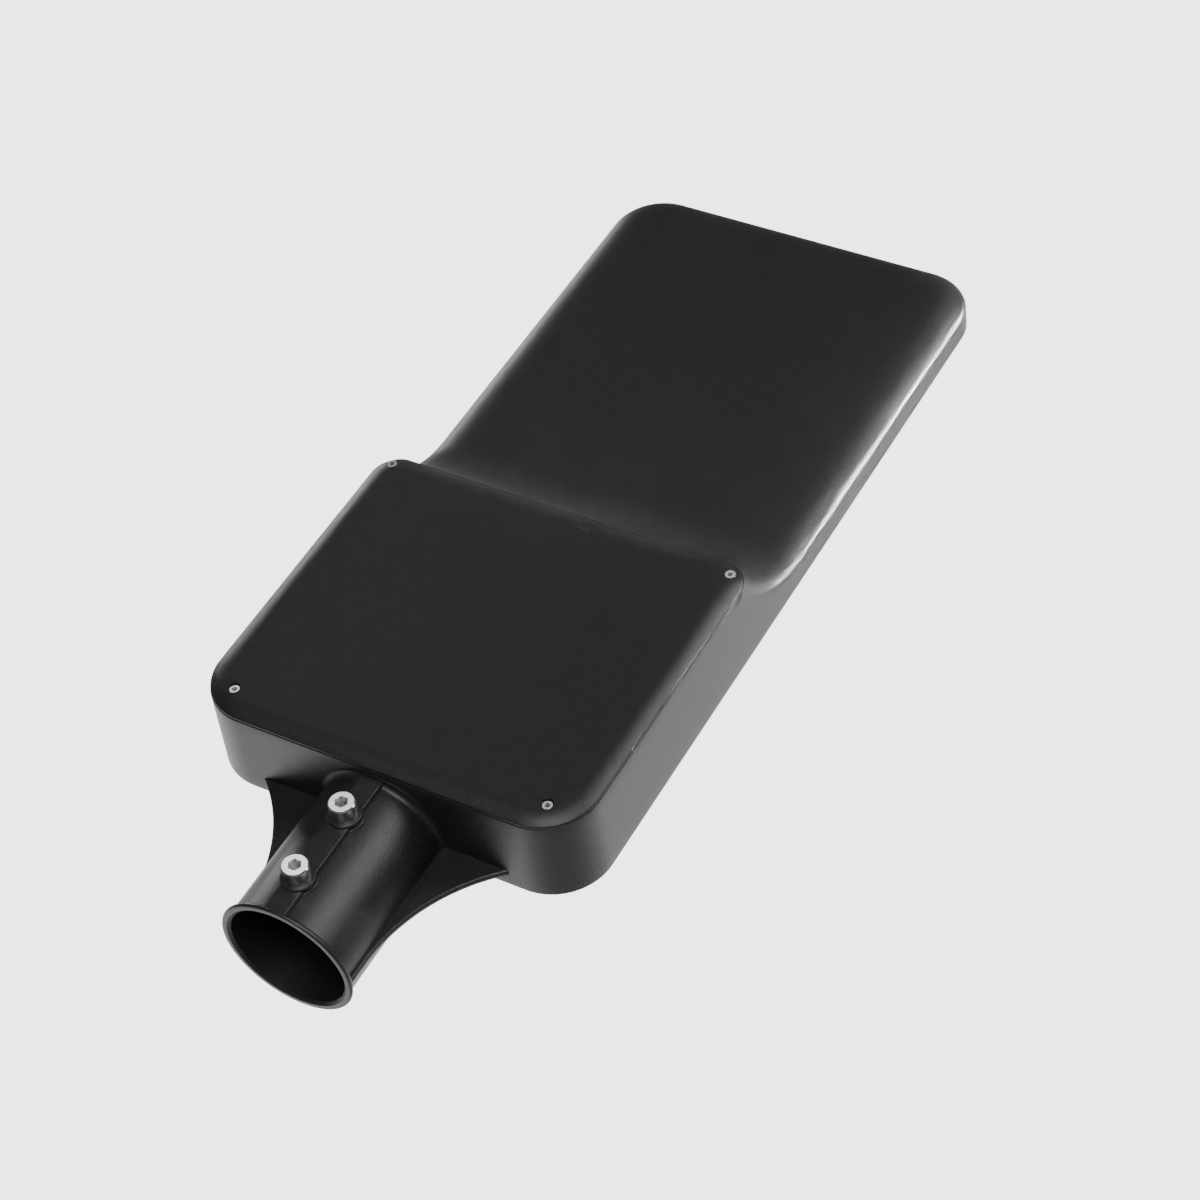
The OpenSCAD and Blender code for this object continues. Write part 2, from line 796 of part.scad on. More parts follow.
module controller_case() {
    base_z = floor_z + boss_h;
    color([0.55, 0.56, 0.58]) difference() {
        union() {
            translate([controller_x, controller_y, base_z])
                cube([controller_w, controller_len, controller_h - controller_lid_t]);
            translate([controller_x + controller_w / 2 - controller_flange_w / 2,
                controller_y - controller_flange, base_z])
                cube([controller_flange_w, controller_len + 2 * controller_flange,
                    controller_flange_t]);
        }
        translate([controller_x + controller_wall, controller_y + controller_wall,
            base_z + controller_wall]) cube([controller_w - 2 * controller_wall,
            controller_len - 2 * controller_wall, controller_h]);
        for (place = controller_places)
            translate([place[0], place[1], floor_z]) cylinder(r = m3_r + screw_hole_gap, h = 10);
    }
}

module controller_lid() {
    lid_z = floor_z + boss_h + controller_h - controller_lid_t;
    step = controller_wall + controller_lid_gap;
    color([0.6, 0.61, 0.63]) {
        translate([controller_x, controller_y, lid_z])
            cube([controller_w, controller_len, controller_lid_t]);
        translate([controller_x + step, controller_y + step, lid_z - controller_lid_t])
            cube([controller_w - 2 * step, controller_len - 2 * step, controller_lid_t + eps]);
    }
}

module controller_screws() {
    color("silver") for (place = controller_places) 
        pan_screw(place, floor_z + boss_h + controller_flange_t);
}

module terminal_holes() {
    for (i = [0:terminal_ways - 1])
        translate([terminal_x + terminal_margin + i * terminal_pitch,
            terminal_y + terminal_d / 2, 0])
            children();
}

module terminal_block() {
    color("lightgray") difference() {
        translate([terminal_x, terminal_y, floor_z]) cube([terminal_w, terminal_d, terminal_h]);
        terminal_holes() translate([0, 0, floor_z + terminal_h - terminal_screw_depth])
            cylinder(r = terminal_screw_r + 0.3, h = terminal_h);
        terminal_holes() translate([0, 0, floor_z + 5]) rotate([90, 0, 0])
            cylinder(r = 2, h = terminal_d + 2, center = true);
    }
}

module terminal_screws() {
    color("gold") terminal_holes()
        translate([0, 0, floor_z + terminal_h - terminal_screw_depth]) difference() {
            cylinder(r = terminal_screw_r, h = 4.5);
            translate([-3, -0.4, 3.5]) cube([6, 0.8, 2]);
        }
}

module earth_screw() {
    color("gold") pan_screw([earth_x, earth_y], floor_z + boss_h);
}

// Wire swept along a route, as a tube with a ring of points at every step of a rounded path.
function unit(v) = v / norm(v);
function arc_point(a, b, c, t) = (1 - t) * (1 - t) * a + 2 * t * (1 - t) * b + t * t * c;

// The route's corners are replaced with short curves that leave and join its straight runs.
function rounded(points) = concat([points[0]],
    [for (i = [1:len(points) - 2]) for (k = [0:wire_bend_steps]) let (
        b = points[i],
        a = b + wire_bend * unit(points[i - 1] - b),
        c = b + wire_bend * unit(points[i + 1] - b)) arc_point(a, b, c, k / wire_bend_steps)],
    [points[len(points) - 1]]);

module wire(points, r) {
    path = rounded(points);
    last = len(path) - 1;
    rings = [for (i = [0:last]) let (
        along = unit(path[min(i + 1, last)] - path[max(i - 1, 0)]),
        side = unit(cross(along, abs(along[2]) > 0.9 ? [0, 1, 0] : [0, 0, 1])),
        up = cross(side, along))
        for (k = [0:wire_sides - 1]) let (a = 360 * k / wire_sides)
            path[i] + r * (cos(a) * side + sin(a) * up)];
    walls = [for (i = [0:last - 1]) for (k = [0:wire_sides - 1]) let (
        n = (k + 1) % wire_sides) [i * wire_sides + k, i * wire_sides + n,
        (i + 1) * wire_sides + n, (i + 1) * wire_sides + k]];
    polyhedron(rings, concat([[for (k = [0:wire_sides - 1]) wire_sides - 1 - k]], walls,
        [[for (k = [0:wire_sides - 1]) last * wire_sides + k]]));
}

module battery_leads() {
    start_x = bms_x + bms_w - 6;
    top = strap_top_z + board_t + wire_r;
    end_z = floor_z + boss_h + controller_h + wire_r;
    color("firebrick") for (i = [0, 1])
        wire([[start_x, bms_y + 4 + i * lead_gap, top],
            [tray_x + tray_w + 6 + i, bms_y + 4 + i * lead_gap, top],
            [tray_x + tray_w + 6 + i, bms_y + 20 + i * lead_gap, end_z],
            [controller_x + controller_w / 2, bms_y + 20 + i * lead_gap, end_z]], wire_r);
}

// From the controller's far end down to the grommet, through it and up under the board.
module led_leads() {
    start_y = controller_y + controller_len;
    start_z = floor_z + boss_h + 12;
    color("firebrick") for (i = [-1, 1]) let (x = grommet_x + i * lead_gap / 2)
        wire([[x, start_y, start_z], [x, start_y + 12, start_z],
            [x, bulkhead_y - 12, grommet_z], [x, led_y, grommet_z],
            [x, led_y + 6, board_z - wire_r], [x, led_y + 12, board_z - wire_r]], wire_r);
}

module bulkhead_grommet() {
    color("dimgray") translate([grommet_x, 0, 0]) difference() {
        union() {
            bar_y(grommet_neck_r - 0.05, bulkhead_y - grommet_flange_t,
                bulkhead_y + bulkhead_t, grommet_z);
            bar_y(grommet_flange_r, bulkhead_y - grommet_flange_t, bulkhead_y, grommet_z);
        }
        bar_y(grommet_bore_r, bulkhead_y - 10, led_y + 10, grommet_z);
    }
}

function led_x(column) = (column + 0.5 - led_columns / 2) * led_pitch_x;
function led_place_y(row) = led_y + (row + 0.5) * led_pitch_y;

module led_board() {
    color("white") difference() {
        translate([-led_board_w / 2, led_y, board_z]) cube([led_board_w, led_board_len, board_t]);
        for (place = lens_screw_places)
            translate([place[0], place[1], board_z - 1])
                cylinder(r = m3_r + screw_hole_gap, h = board_t + 2);
    }
}

module led_chips() {
    color("gold") for (column = [0:led_columns - 1]) for (row = [0:led_rows - 1])
        translate([led_x(column) - chip_w / 2, led_place_y(row) - chip_w / 2, chip_z])
            cube([chip_w, chip_w, chip_t]);
}

// One clear plate with a raised rim that stands on the board and a lens under each LED.
module lens_plate() {
    rim = 1.5;
    edge = 1.5;
    x = led_board_w / 2 - edge;
    lens_z = lens_top_z - lens_t;
    color([0.85, 0.9, 0.95]) difference() {
        union() {
            difference() {
                translate([-x, led_y + lens_start, lens_z])
                    cube([2 * x, led_board_len - lens_start - edge, board_z - lens_z]);
                translate([-x + rim, led_y + lens_start + rim, lens_top_z])
                    cube([2 * (x - rim), led_board_len - lens_start - edge - 2 * rim, lens_t]);
            }
            for (place = lens_screw_places)
                translate([place[0], place[1], lens_z])
                    cylinder(r = lens_post_r, h = board_z - lens_z);
            for (column = [0:led_columns - 1]) for (row = [0:led_rows - 1])
                translate([led_x(column), led_place_y(row), lens_z - lens_dome_h])
                    cylinder(r1 = lens_r * 0.7, r2 = lens_r, h = lens_dome_h + eps);
        }
        for (place = lens_screw_places)
            translate([place[0], place[1], lens_z - 1]) cylinder(r = m3_r + screw_hole_gap, h = 10);
    }
}

module lens_screws() {
    lens_z = lens_top_z - lens_t;
    color("silver") for (place = lens_screw_places)
        mirror([0, 0, 1]) socket_screw(place[0], place[1], -lens_z, m3_r, m3_head_r, pan_head_h,
            slab_roof_z + lens_screw_bite - lens_z);
}

module glass_plan(step) {
    plan(glass_half_w - step, glass_near_y + step, glass_far_y - step,
        glass_corner_r - step, glass_corner_r - step);
}

module glass_gasket() {
    color("dimgray") slice(glass_z + glass_t, glass_ledge_z) difference() {
        glass_plan(glass_gap);
        glass_plan(glass_seat);
    }
}

module glass_pane() {
    color([0.7, 0.85, 0.9]) slice(glass_z, glass_z + glass_t) glass_plan(glass_gap);
}

module glass_frame() {
    color([0.16, 0.16, 0.17]) difference() {
        slice(bottom_z - frame_t, bottom_z) difference() {
            plan(frame_half_w, frame_near_y, frame_far_y, frame_near_r, tip_corner_r - frame_edge);
            glass_plan(frame_window);
        }
        for (place = frame_screw_places)
            translate([place[0], place[1], bottom_z - 5])
                cylinder(r = m3_r + screw_hole_gap, h = 10);
    }
}

module frame_screws() {
    color("silver") for (place = frame_screw_places)
        mirror([0, 0, 1]) socket_screw(place[0], place[1], -bottom_z + frame_t, m3_r,
            m3_head_r, frame_head_h, frame_screw_len);
}

module breather_vent() {
    color("black") translate([vent_x, vent_y, bottom_z]) {
        translate([0, 0, -vent_cap_h]) cylinder(r1 = 8, r2 = 9, h = vent_cap_h);
        cylinder(r = vent_r, h = floor_t + 6);
    }
}

module vent_nut() {
    color("black") translate([vent_x, vent_y, floor_z]) difference() {
        cylinder(d = vent_nut_w / cos(30), h = vent_nut_h, $fn = 6);
        translate([0, 0, -1]) cylinder(r = vent_r + thread_gap, h = 10);
    }
}

housing();
top_cover();
cover_gasket();
cover_screw_near_left();
cover_screw_near_right();
cover_screw_far_left();
cover_screw_far_right();
clamp_screw_front();
clamp_screw_rear();
gland_body();
gland_dome_nut();
gland_seal();
gland_locknut();
battery_tray();
battery_cells();
cell_links();
battery_sheet();
bms_board();
battery_straps();
strap_screws();
controller_case();
controller_lid();
controller_screws();
terminal_block();
terminal_screws();
earth_screw();
battery_leads();
led_leads();
bulkhead_grommet();
led_board();
led_chips();
lens_plate();
lens_screws();
glass_gasket();
glass_pane();
glass_frame();
frame_screws();
breather_vent();
vent_nut();
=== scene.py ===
import math

import bmesh
import bpy
import numpy as np
from mathutils import Matrix, Vector


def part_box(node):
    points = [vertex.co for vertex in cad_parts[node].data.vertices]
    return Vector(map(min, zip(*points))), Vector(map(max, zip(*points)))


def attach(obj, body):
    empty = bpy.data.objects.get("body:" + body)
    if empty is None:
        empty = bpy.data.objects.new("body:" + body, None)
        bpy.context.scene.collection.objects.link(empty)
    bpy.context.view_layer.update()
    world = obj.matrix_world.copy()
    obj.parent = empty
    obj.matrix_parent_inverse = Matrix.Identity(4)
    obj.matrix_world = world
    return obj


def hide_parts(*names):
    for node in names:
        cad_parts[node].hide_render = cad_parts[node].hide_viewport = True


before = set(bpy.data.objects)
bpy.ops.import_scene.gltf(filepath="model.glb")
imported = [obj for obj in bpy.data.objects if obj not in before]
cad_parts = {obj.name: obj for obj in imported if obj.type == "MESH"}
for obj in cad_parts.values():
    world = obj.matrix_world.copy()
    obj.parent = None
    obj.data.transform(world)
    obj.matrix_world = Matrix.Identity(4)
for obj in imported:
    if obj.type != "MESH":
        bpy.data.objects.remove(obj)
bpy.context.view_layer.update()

# Lengths in this script are in millimetres; MM turns them into the frame's metres.
MM = 0.001


def span(node):
    """The lowest and highest corners of a CAD node, in millimetres."""
    low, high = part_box(node)
    return np.array(low) / MM, np.array(high) / MM


# Places and sizes read from the frame
house_low, house_high = span("housing")
cover_low, cover_high = span("top_cover")
seal_low, seal_high = span("cover_gasket")
pane_low, pane_high = span("glass_pane")
grommet_low, _ = span("bulkhead_grommet")
clamp_nodes = ["clamp_screw_front", "clamp_screw_rear"]
cover_screw_nodes = [f"cover_screw_{end}_{side}" for end in ("near", "far") for side in ("left", "right")]

# Body
half_width = house_high[0]
tip_y = house_high[1]
mouth_y = house_low[1]
bottom_z = pane_low[2]
rim_z = seal_high[2] - 0.3
slab_z = bottom_z + 20
floor_z = bottom_z + 3
wall_t = 3.2
tip_corner_r = 28
near_corner_r = 29
draft_out = 0.5
draft_in = 0.6
under_edge_r = 1.2
rim_edge_r = 0.5
front_y = cover_low[1] - 0.9

# Rounding of the slab's upper edge, inwards and down, and what it grows to at the rim's corner
soft_in, soft_down = 20, 8
corner_in, corner_down = 13, 13

# Hollow sweep between the slab and the rim
ramp_r = 55
crest_y = cover_high[1] + 1.4
ramp_axis_z = slab_z + ramp_r
ramp_axis_y = crest_y + math.sqrt(ramp_r ** 2 - (ramp_axis_z - rim_z) ** 2)
ramp_shell = 3.5
bulkhead_y = grommet_low[1] + 1.6

# Spigot
bore_r = 30.2
chamber_r = 25
spigot_r = 32.3
lip_r = 34.6
lead_in = -mouth_y
stop_y = 64.6
end_wall_y = front_y - 3.6
web_top, web_bottom = 0.5, -3.0
web_r = 92.3
web_start_y = mouth_y + 13
web_axis_x = spigot_r + 1.7 + web_r
land_half_w = 5.9
land_z = 34.2
boss_r = 8.4
boss_z = span(clamp_nodes[0])[1][2] - 8

# Numbers of stations along each stretch of an outline
ACROSS, ROUND, SWEEP, ALONG = 14, 25, 19, 24


def finish_mesh(obj, crease):
    """Merges doubles, turns faces outwards and shades smooth between edges sharper than crease degrees."""
    shape = bmesh.new()
    shape.from_mesh(obj.data)
    bmesh.ops.remove_doubles(shape, verts=shape.verts, dist=0.002 * MM)
    bmesh.ops.dissolve_degenerate(shape, edges=shape.edges, dist=0.001 * MM)
    bmesh.ops.recalc_face_normals(shape, faces=shape.faces)
    shape.to_mesh(obj.data)
    shape.free()
    obj.data.shade_smooth()
    obj.data.set_sharp_from_angle(angle=math.radians(crease))


def quads(rows, columns):
    """The corner numbers of each quad of a grid whose points are stored row by row."""
    corner = np.arange(rows * columns).reshape(rows, columns)
    return np.stack([corner[:-1, :-1], corner[1:, :-1], corner[1:, 1:], corner[:-1, 1:]], -1).reshape(-1, 4)


def surface(name, grids, material, crease=30):
    """One object from grids of points in millimetres, with a quad between each four neighbours."""
    points = [np.reshape(grid, (-1, 3)) for grid in grids]
    starts = np.cumsum([0] + [len(each) for each in points])
    faces = [quads(*grid.shape[:2]) + start for grid, start in zip(grids, starts)]
    mesh = bpy.data.meshes.new(name)
    mesh.from_pydata((np.concatenate(points) * MM).tolist(), [], np.concatenate(faces).tolist())
    obj = bpy.data.objects.new(name, mesh)
    bpy.context.collection.objects.link(obj)
    mesh.materials.append(material)
    finish_mesh(obj, crease)
    return obj


def both_sides(grids):
    """The grids and their mirror images across the plane x = 0."""
    return grids + [grid * np.array([-1, 1, 1]) for grid in grids]


def stack(x, y, z):
    """Points from three arrays of coordinates, spread to one shape."""
    return np.stack(np.broadcast_arrays(np.asarray(x, float), y, z), -1)


def to_middle(edge, columns=ACROSS):
    """A flat web between an edge and the plane x = 0: each point slides across to x = 0."""
    share = np.linspace(1, 0, columns)[None, :, None]
    sideways = np.concatenate([edge[:, None, :1] * share,
                               np.repeat(edge[:, None, 1:], columns, 1)], -1)
    return sideways


def half_plan(half_w, near_y, far_y, near_r, far_r, sides, far_steps=ROUND):
    """Right half of a plan with straight edges and quarter-circle corners, from the middle of its near
    edge round to the middle of its far edge. sides holds the share of the side at each station.
    Returns x, y and the outward normal's x and y."""
    turn_near = np.linspace(-math.pi / 2, 0, ROUND)
    turn_far = np.linspace(0, math.pi / 2, far_steps)
    side_y = near_y + near_r + sides * (far_y - far_r - near_y - near_r)
    x = np.concatenate([
        np.linspace(0, half_w - near_r, ACROSS), half_w - near_r + near_r * np.cos(turn_near),
        np.full(len(sides), half_w), half_w - far_r + far_r * np.cos(turn_far),
        np.linspace(half_w - far_r, 0, ACROSS)])
    y = np.concatenate([
        np.full(ACROSS, near_y), near_y + near_r + near_r * np.sin(turn_near),
        side_y, far_y - far_r + far_r * np.sin(turn_far), np.full(ACROSS, far_y)])
    angle = np.concatenate([
        np.full(ACROSS, -math.pi / 2), turn_near, np.zeros(len(sides)),
        turn_far, np.full(ACROSS, math.pi / 2)])
    return x, y, np.cos(angle), np.sin(angle)


def loft(rings):
    """A band through rings of equal length, one after another."""
    return np.stack(rings)


def turned(profile, centre, axis, steps=64, sweep=(0, 360)):
    """A profile of (radius, height) pairs turned about an axis through centre: radius times the cosine
    and sine of the turn, height along the axis."""
    radius, height = np.array(profile, float).T
    turn = np.radians(np.linspace(*sweep, steps + 1))[:, None]
    across, up = radius * np.cos(turn), radius * np.sin(turn)
    along = np.broadcast_to(height, across.shape)
    order = {"z": (across, up, along), "y": (across, along, up)}[axis]
    return np.stack(order, -1) + np.array(centre, float)


def quarter(centre, r, start, end, steps=6):
    """Points on an arc in a profile's plane, from one angle in degrees to another."""
    turn = np.radians(np.linspace(start, end, steps))
    return [(centre[0] + r * math.cos(a), centre[1] + r * math.sin(a)) for a in turn]


def prism(outline, low, high):
    """A closed prism between two x values over an outline of (y, z) pairs: the outline's loop at both
    ends, and each end drawn together to its middle."""
    loop = np.array(outline + outline[:1], float)
    middle = loop[:-1].mean(0)
    rings = [(low, middle + 0 * loop), (low, loop), (high, loop), (high, middle + 0 * loop)]
    return np.stack([stack(x, ring[:, 0], ring[:, 1]) for x, ring in rings])


def drafted(z):
    """How far the wall stands out at a height: it leans in evenly from the underside to the rim."""
    share = (z - bottom_z) / (rim_z - bottom_z)
    return draft_out - (draft_out + draft_in) * share


# ---------------------------------------------------------------- body

def sweep_point(share, tilt):
    """A point of the sweep's surface. share runs from 0 at the slab to 1 at the rim, tilt from 0 at the
    side wall to a right angle on the open surface. Every line of equal tilt is an arc about the
    sweep's own axis, whose radius grows by the edge's drop, and it ends at the rim's height."""
    inwards = soft_in + (corner_in - soft_in) * share ** 1.5
    down = soft_down + (corner_down - soft_down) * share ** 1.5
    drop = down * (1 - np.sin(tilt))
    last = np.arccos((ramp_axis_z - rim_z) / (ramp_r + corner_down * (1 - np.sin(tilt))))
    turn = share * last
    z = ramp_axis_z - (ramp_r + drop) * np.cos(turn)
    x = half_width + drafted(z) - inwards * (1 - np.cos(tilt))
    y = ramp_axis_y - (ramp_r + drop) * np.sin(turn)
    return stack(x, y, z)


def body_shell():
    """The casting without its spigot, as one closed skin: walls that follow the plan, the soft upper
    edge, the sweep, the rim with its groove, the compartment and the pocket for the LED module."""
    tilt = np.linspace(0, math.pi / 2, SWEEP)
    share = np.linspace(1, 0, ALONG)
    start = sweep_point(share, 0)
    near_end, far_end = front_y + near_corner_r, tip_y - tip_corner_r
    box_y = np.linspace(near_end, start[0, 1], ALONG)
    slab_y = np.linspace(ramp_axis_y, far_end, ALONG)
    side_y = np.concatenate([box_y, start[:, 1], slab_y])
    sides = (side_y - near_end) / (far_end - near_end)
    x, y, nx, ny = half_plan(half_width, front_y, tip_y, near_corner_r, tip_corner_r, sides)
    box = ACROSS + ROUND + ALONG
    sweep = box + ALONG

    # Height at which the wall ends and the rounding begins
    break_r = np.full(box, rim_edge_r)
    break_r[-1] = 0
    wall_top = np.full(len(x), slab_z - soft_down, float)
    wall_top[:box] = rim_z - break_r
    wall_top[box:sweep] = start[:, 2]

    def ring(inset, z):
        """The plan at one height, moved in by inset and out by the draft."""
        out = drafted(z) - inset
        return stack(x + nx * out, y + ny * out, z + 0 * x)

    edge = np.linspace(0, math.pi / 2, 6)
    rows = [ring(under_edge_r * (1 - math.sin(a)), bottom_z + under_edge_r * (1 - math.cos(a)))
            for a in edge]
    low = bottom_z + under_edge_r
    rows += [ring(0, low + (wall_top - low) * k) for k in np.linspace(0, 1, 9)[1:]]
    grids = [loft(rows)]

    # Broken edge of the rim
    rim_x, rim_y, rim_nx, rim_ny = x[:box], y[:box], nx[:box], ny[:box]
    breaks = []
    for a in edge:
        z = rim_z - break_r * (1 - math.sin(a))
        out = drafted(rim_z - break_r) - break_r * (1 - math.cos(a))
        breaks.append(stack(rim_x + rim_nx * out, rim_y + rim_ny * out, z))
    grids.append(loft(breaks))

    # Soft edge of the sweep and of the slab, then the open surface as far as the middle
    sweep_edge = sweep_point(share[:, None], tilt[None, :])
    turn = tilt[None, :]
    z = slab_z - soft_down * (1 - np.sin(turn))
    out = drafted(z) - soft_in * (1 - np.cos(turn))
    px, py, pnx, pny = (each[sweep:, None] for each in (x, y, nx, ny))
    slab_edge = stack(px + pnx * out, py + pny * out, z)
    grids += [sweep_edge, slab_edge, to_middle(sweep_edge[:, -1])]
    grids.append(to_middle(slab_edge[:-ACROSS, -1]))

    # Rim: its outline, the gasket's groove, the opening, the ledge and the compartment's walls
    box_sides = np.linspace(0, 1, ALONG)
    corner = sweep_point(1.0, tilt)
    crest = stack(np.linspace(corner[-1, 0], 0, ACROSS), crest_y, rim_z)
    rim = np.concatenate([breaks[-1], corner, crest])

    def seal_ring(step, z):
        px, py, _, _ = half_plan(seal_high[0] - step, seal_low[1] + step, seal_high[1] - step,
                                 40 - step, 14 - step, box_sides, SWEEP)
        return stack(px, py, z)

    def room_ring(z, far_y):
        px, py, _, _ = half_plan(half_width - wall_t, front_y + wall_t, far_y,
                                 near_corner_r - wall_t, wall_t, box_sides, SWEEP)
        return stack(px, py, z)

    ledge_z, groove_z = rim_z - 8, seal_low[2]
    rings = [rim, seal_ring(-0.2, rim_z), seal_ring(-0.2, groove_z), seal_ring(3.2, groove_z),
             seal_ring(3.2, rim_z), seal_ring(5, rim_z), seal_ring(5, ledge_z)]
    roof_r = ramp_r + ramp_shell
    roof_low = ramp_axis_z - math.sqrt(roof_r ** 2 - (ramp_axis_y - bulkhead_y) ** 2)
    for z in np.linspace(ledge_z, roof_low, 8):
        rings.append(room_ring(z, ramp_axis_y - math.sqrt(roof_r ** 2 - (ramp_axis_z - z) ** 2)))
    rings.append(room_ring(floor_z, bulkhead_y))
    grids += [loft(rings), to_middle(rings[-1])]

    # Underside, with the pocket that holds the glass and the room for the lenses
    def pocket_ring(step, z):
        r = tip_corner_r - 9 - step
        px, py, _, _ = half_plan(half_width - 10 - step, pane_low[1] - 0.4 + step,
                                 pane_high[1] + 0.4 - step, r, r, sides)
        return stack(px, py, z)

    ledge, roof = bottom_z + 5.5, slab_z - 4.5
    rings = [rows[0], pocket_ring(0, bottom_z), pocket_ring(0, ledge), pocket_ring(6, ledge),
             pocket_ring(6, roof)]
    grids += [loft(rings), to_middle(rings[-1])]
    return both_sides(grids)


def screw_columns():
    """Round columns under the cover screws, and low bosses under what is screwed to the floor."""
    grids = []
    for node in cover_screw_nodes:
        low, high = span(node)
        top = rim_z - 2.3
        grids.append(turned([(0, floor_z - 1), (6, floor_z - 1), (6, top - 0.5), (5.5, top), (0, top)],
                            ((low[0] + high[0]) / 2, (low[1] + high[1]) / 2, 0), "z", 40))
    strap_low, strap_high = span("battery_straps")
    case_low, case_high = span("controller_case")
    earth_low, earth_high = span("earth_screw")
    places = [(x, y) for x in (strap_low[0] + 4, strap_high[0] - 4)
              for y in (strap_low[1] + 6, strap_high[1] - 6)]
    places += [((case_low[0] + case_high[0]) / 2, y) for y in (case_low[1] + 4.5, case_high[1] - 4.5)]
    places.append(((earth_low[0] + earth_high[0]) / 2, (earth_low[1] + earth_high[1]) / 2))
    for px, py in places:
        grids.append(turned([(0, floor_z - 1), (4, floor_z - 1), (4, floor_z + 3), (0, floor_z + 3)],
                            (px, py, 0), "z", 32))
    return grids


# ---------------------------------------------------------------- spigot

def spigot_tube():
    """The socket for the pole, as one cup: bore, stop, cable chamber and a beaded lip, turned about Y."""
    back_y = front_y + wall_t
    profile = [(0, end_wall_y), (chamber_r - 1, end_wall_y)]
    profile += quarter((chamber_r - 1, end_wall_y - 1), 1, 90, 0)
    profile += [(chamber_r, stop_y), (bore_r, stop_y), (bore_r, 0), (bore_r + lead_in, mouth_y)]
    profile += quarter((lip_r - 1.1, mouth_y + 1.1), 1.1, -90, 0)
    profile += quarter((lip_r - 1.1, mouth_y + 1.3), 1.1, 0, 80)
    profile += quarter((spigot_r + 1.2, mouth_y + 3.6), 1.2, 260, 180)
    profile += [(spigot_r, back_y - 1.5)] + quarter((spigot_r - 1.5, back_y - 1.5), 1.5, 0, 90)
    profile += [(0, back_y)]
    return turned(profile, (0, 0, 0), "y", 160)


def root_fillet():
    """The rounded corner between the tube and the front wall, as a bead that stops at the underside."""
    r = 3.0
    profile = quarter((spigot_r + r, front_y - r - drafted(0)), r, 180, 90, 8)
    profile += [(spigot_r + r, front_y + 1), (spigot_r - 1, front_y + 1), (spigot_r - 1, front_y - r)]
    profile.append(profile[0])
    low = math.degrees(math.asin((bottom_z + 1) / (spigot_r + r)))
    bead = turned(profile, (0, 0, 0), "y", 96, (low, 180 - low))
    ends = [np.stack([end, np.broadcast_to(end.mean(0), end.shape)]) for end in (bead[0], bead[-1])]
    return [bead] + ends


def web():
    """One side web: its edge runs straight back from the lip and then along a hollow arc to the front
    wall; the section is a plate with rounded corners."""
    turn = np.radians(np.linspace(0, 52, 40))
    edge_x = np.concatenate([[web_axis_x - web_r], web_axis_x - web_r * np.cos(turn)])
    edge_y = np.concatenate([[mouth_y + 1], web_start_y + web_r * np.sin(turn)])
    out_x = np.concatenate([[1], np.cos(turn)])
    out_y = np.concatenate([[0], -np.sin(turn)])
    r = 1.3
    corner = np.radians(np.linspace(90, 0, 6))
    inset = np.concatenate([r * (1 - np.cos(corner)), r * (1 - np.cos(corner[::-1]))])
    height = np.concatenate([web_top - r * (1 - np.sin(corner)),
                             web_bottom + r * (1 - np.sin(corner[::-1]))])
    x = edge_x[:, None] - out_x[:, None] * inset
    y = edge_y[:, None] - out_y[:, None] * inset
    skin = stack(x, y, height[None, :])
    root = spigot_r - 1
    top = stack(root, y[:, :1], web_top)
    under = stack(root, y[:, -1:], web_bottom)
    section = np.concatenate([under, top, skin, under], 1)
    caps = [np.stack([end, np.broadcast_to(end.mean(0), end.shape)]) for end in (section[0], section[-1])]
    return [section] + caps


def land():
    """The raised strip along the spigot's top, with a rounded shoulder and a small foot."""
    r = 0.7
    half = [(0, land_z)] + quarter((land_half_w - r, land_z - r), r, 90, 8, 6)
    half += quarter((land_half_w + 1.0, spigot_r - 0.2), 0.8, 188, 250, 5)
    half += [(land_half_w + 1, 31), (0, 31)]
    x, z = np.array(half).T
    y = np.linspace(mouth_y + 1.5, front_y + 1, 2)
    strip = stack(x[None, :], y[:, None], z[None, :])
    caps = [np.stack([end, np.broadcast_to(end.mean(0), end.shape)]) for end in (strip[0], strip[-1])]
    return both_sides([strip] + caps)


def clamp_bosses():
    """Round bosses under the clamp screws, each with a broken edge and a flared foot."""
    grids = []
    for node in clamp_nodes:
        low, high = span(node)
        profile = [(0, boss_z)] + quarter((boss_r - 0.6, boss_z - 0.6), 0.6, 90, 0)
        profile += quarter((boss_r + 0.8, land_z - 1.4), 0.8, 180, 250) + [(boss_r + 0.8, 29), (0, 29)]
        grids.append(turned(profile, (0, (low[1] + high[1]) / 2, 0), "z", 72))
    return grids


def gussets():
    """Three sloping ribs that carry the spigot's end wall down under the floor."""
    grids = []
    for x in (-16, 0, 16):
        z = -math.sqrt(spigot_r ** 2 - (abs(x) + 4) ** 2)
        outline = [(front_y, bottom_z + 1), (front_y, z), (front_y + wall_t, z),
                   (front_y + wall_t + 56, bottom_z), (front_y + wall_t + 56, bottom_z + 1)]
        grids.append(prism(outline, x - 2, x + 2))
    return grids


# ---------------------------------------------------------------- cover

